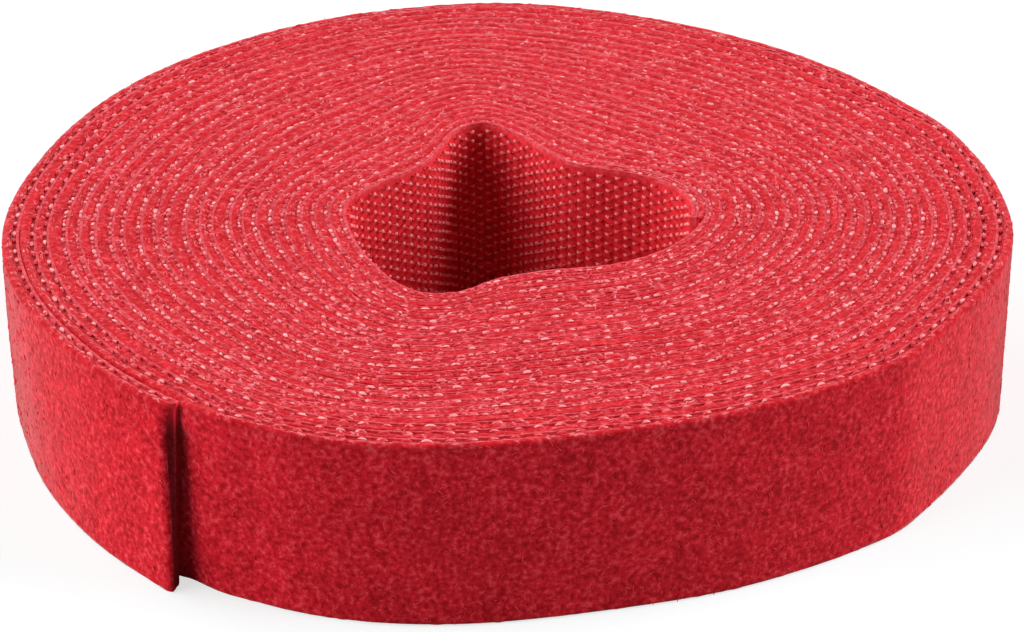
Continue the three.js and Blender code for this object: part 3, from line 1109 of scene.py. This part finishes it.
def wall_fibres(name, start, end):
    """Small loops of fibre standing off the outer wall's pile."""
    first, last = length_at(start), length_at(end)
    count = int((last - first) * TAPE_WIDTH * WALL_FIBRES_PER_MM2)
    t = t_at(rng.uniform(first, last, count))
    _, _, _, pile = layers(t)
    height = rng.uniform(WALL_FIBRE_MARGIN, TAPE_WIDTH - WALL_FIBRE_MARGIN, count)
    bases = place(t, pile - WALL_FIBRE_DEPTH, height)
    along, outward = directions(t)
    angle = rng.uniform(0, FULL_TURN, count)
    up = np.array([0, 0, 1.0])
    direction = along * np.cos(angle)[:, None] + up * np.sin(angle)[:, None]
    return fibre_loops(name, bases, direction, outward, WALL_FIBRE_SIZES, WALL_FIBRE_SIDES, WALL_FIBRE)


make_camera()
make_light()
make_floor()

# The seams lie a little on the roll's side of the solids' slits. An end's curve would run a length from
# there; its ends are worked out, but no end is bent.
# The wound pile is in three pieces, parted at shares of the tape's length.
SEAM_DISTANCE = 0.5
CURVE_LENGTH = 10.0
PARTING_SHARES = (0.3, 0.6)

# Steps of the web along the tape in mm, and rows of the open wall
WEB_STEP = 0.7
END_WEB_STEP = 0.5
WALL_ROWS = 60
INNER_END_ROWS = 30


def seam(t, distance):
    return float(t_at(length_at(t) + distance))


inner_seam = seam(INNER_BEND, SEAM_DISTANCE)
outer_seam = seam(OUTER_BEND, -SEAM_DISTANCE)
first_parting, second_parting = [float(t_at(share * length_at(TURNS))) for share in PARTING_SHARES]


def on_roll(piece):
    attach(piece, "roll")
    return piece


def curve_ends(seam_t, length):
    """Points where an end's curve starts, at its seam, and ends, a length in mm further along the tape."""
    start = place(seam_t, BOND_OFFSET, TAPE_WIDTH / 2)
    along, _ = directions(np.array(seam_t))
    return start, start + along * length * MM


def across_outer_bend(piece):
    start, end = curve_ends(outer_seam, CURVE_LENGTH)
    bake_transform(piece)
    return piece


def across_inner_bend(piece):
    start, end = curve_ends(inner_seam, -CURVE_LENGTH)
    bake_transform(piece)
    return piece


# The wound tape
web = on_roll(hook_web("roll_hook_web", inner_seam, outer_seam, WEB_STEP))
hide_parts("roll_hook_ply")
pile = on_roll(loop_ply("roll_loop_pile_inner", inner_seam, first_parting))
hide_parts("roll_loop_ply")
on_roll(loop_ply("roll_loop_pile_middle", first_parting, second_parting))
on_roll(loop_ply("roll_loop_pile_outer", second_parting, LAST_WALL))
on_roll(loop_ply("roll_outer_wall", LAST_WALL, outer_seam, WALL_ROWS))
on_roll(edge_beads("roll_top_beads", inner_seam, outer_seam, top=True))
on_roll(edge_beads("roll_bottom_beads", inner_seam, outer_seam, top=False))
on_roll(hook_field("roll_bore_hooks", inner_seam, FIRST_WALL))
on_roll(edge_fibres("roll_top_fibres_inner", inner_seam, first_parting, top=True))
on_roll(edge_fibres("roll_top_fibres_middle", first_parting, second_parting, top=True))
on_roll(edge_fibres("roll_top_fibres_outer", second_parting, outer_seam, top=True))
on_roll(edge_fibres("roll_bottom_fibres", inner_seam, outer_seam, top=False))
on_roll(wall_fibres("roll_wall_fibres", LAST_WALL, outer_seam))

# The free outer end
web = across_outer_bend(hook_web("outer_end_hook_web", outer_seam, TURNS, END_WEB_STEP, CUT_SHADE))
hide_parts("outer_end_hook_ply")
pile = across_outer_bend(loop_ply("outer_end_loop_pile", outer_seam, TURNS, WALL_ROWS, CUT_SHADE))
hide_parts("outer_end_loop_ply")
across_outer_bend(edge_beads("outer_end_top_beads", outer_seam, TURNS, top=True))
across_outer_bend(edge_beads("outer_end_bottom_beads", outer_seam, TURNS, top=False))
across_outer_bend(hook_field("outer_end_hooks", outer_seam, TURNS))
across_outer_bend(edge_fibres("outer_end_top_fibres", outer_seam, TURNS, top=True))
across_outer_bend(wall_fibres("outer_end_wall_fibres", outer_seam, TURNS))

# The free inner end
web = across_inner_bend(hook_web("inner_end_hook_web", 0, inner_seam, END_WEB_STEP))
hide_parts("inner_end_hook_ply")
pile = across_inner_bend(loop_ply("inner_end_loop_pile", 0, inner_seam, INNER_END_ROWS))
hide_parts("inner_end_loop_ply")
across_inner_bend(edge_beads("inner_end_top_beads", 0, inner_seam, top=True))
across_inner_bend(edge_beads("inner_end_bottom_beads", 0, inner_seam, top=False))
across_inner_bend(hook_field("inner_end_hooks", 0, inner_seam))
across_inner_bend(edge_fibres("inner_end_top_fibres", 0, inner_seam, top=True))

bpy.context.scene.view_settings.view_transform = "Standard"
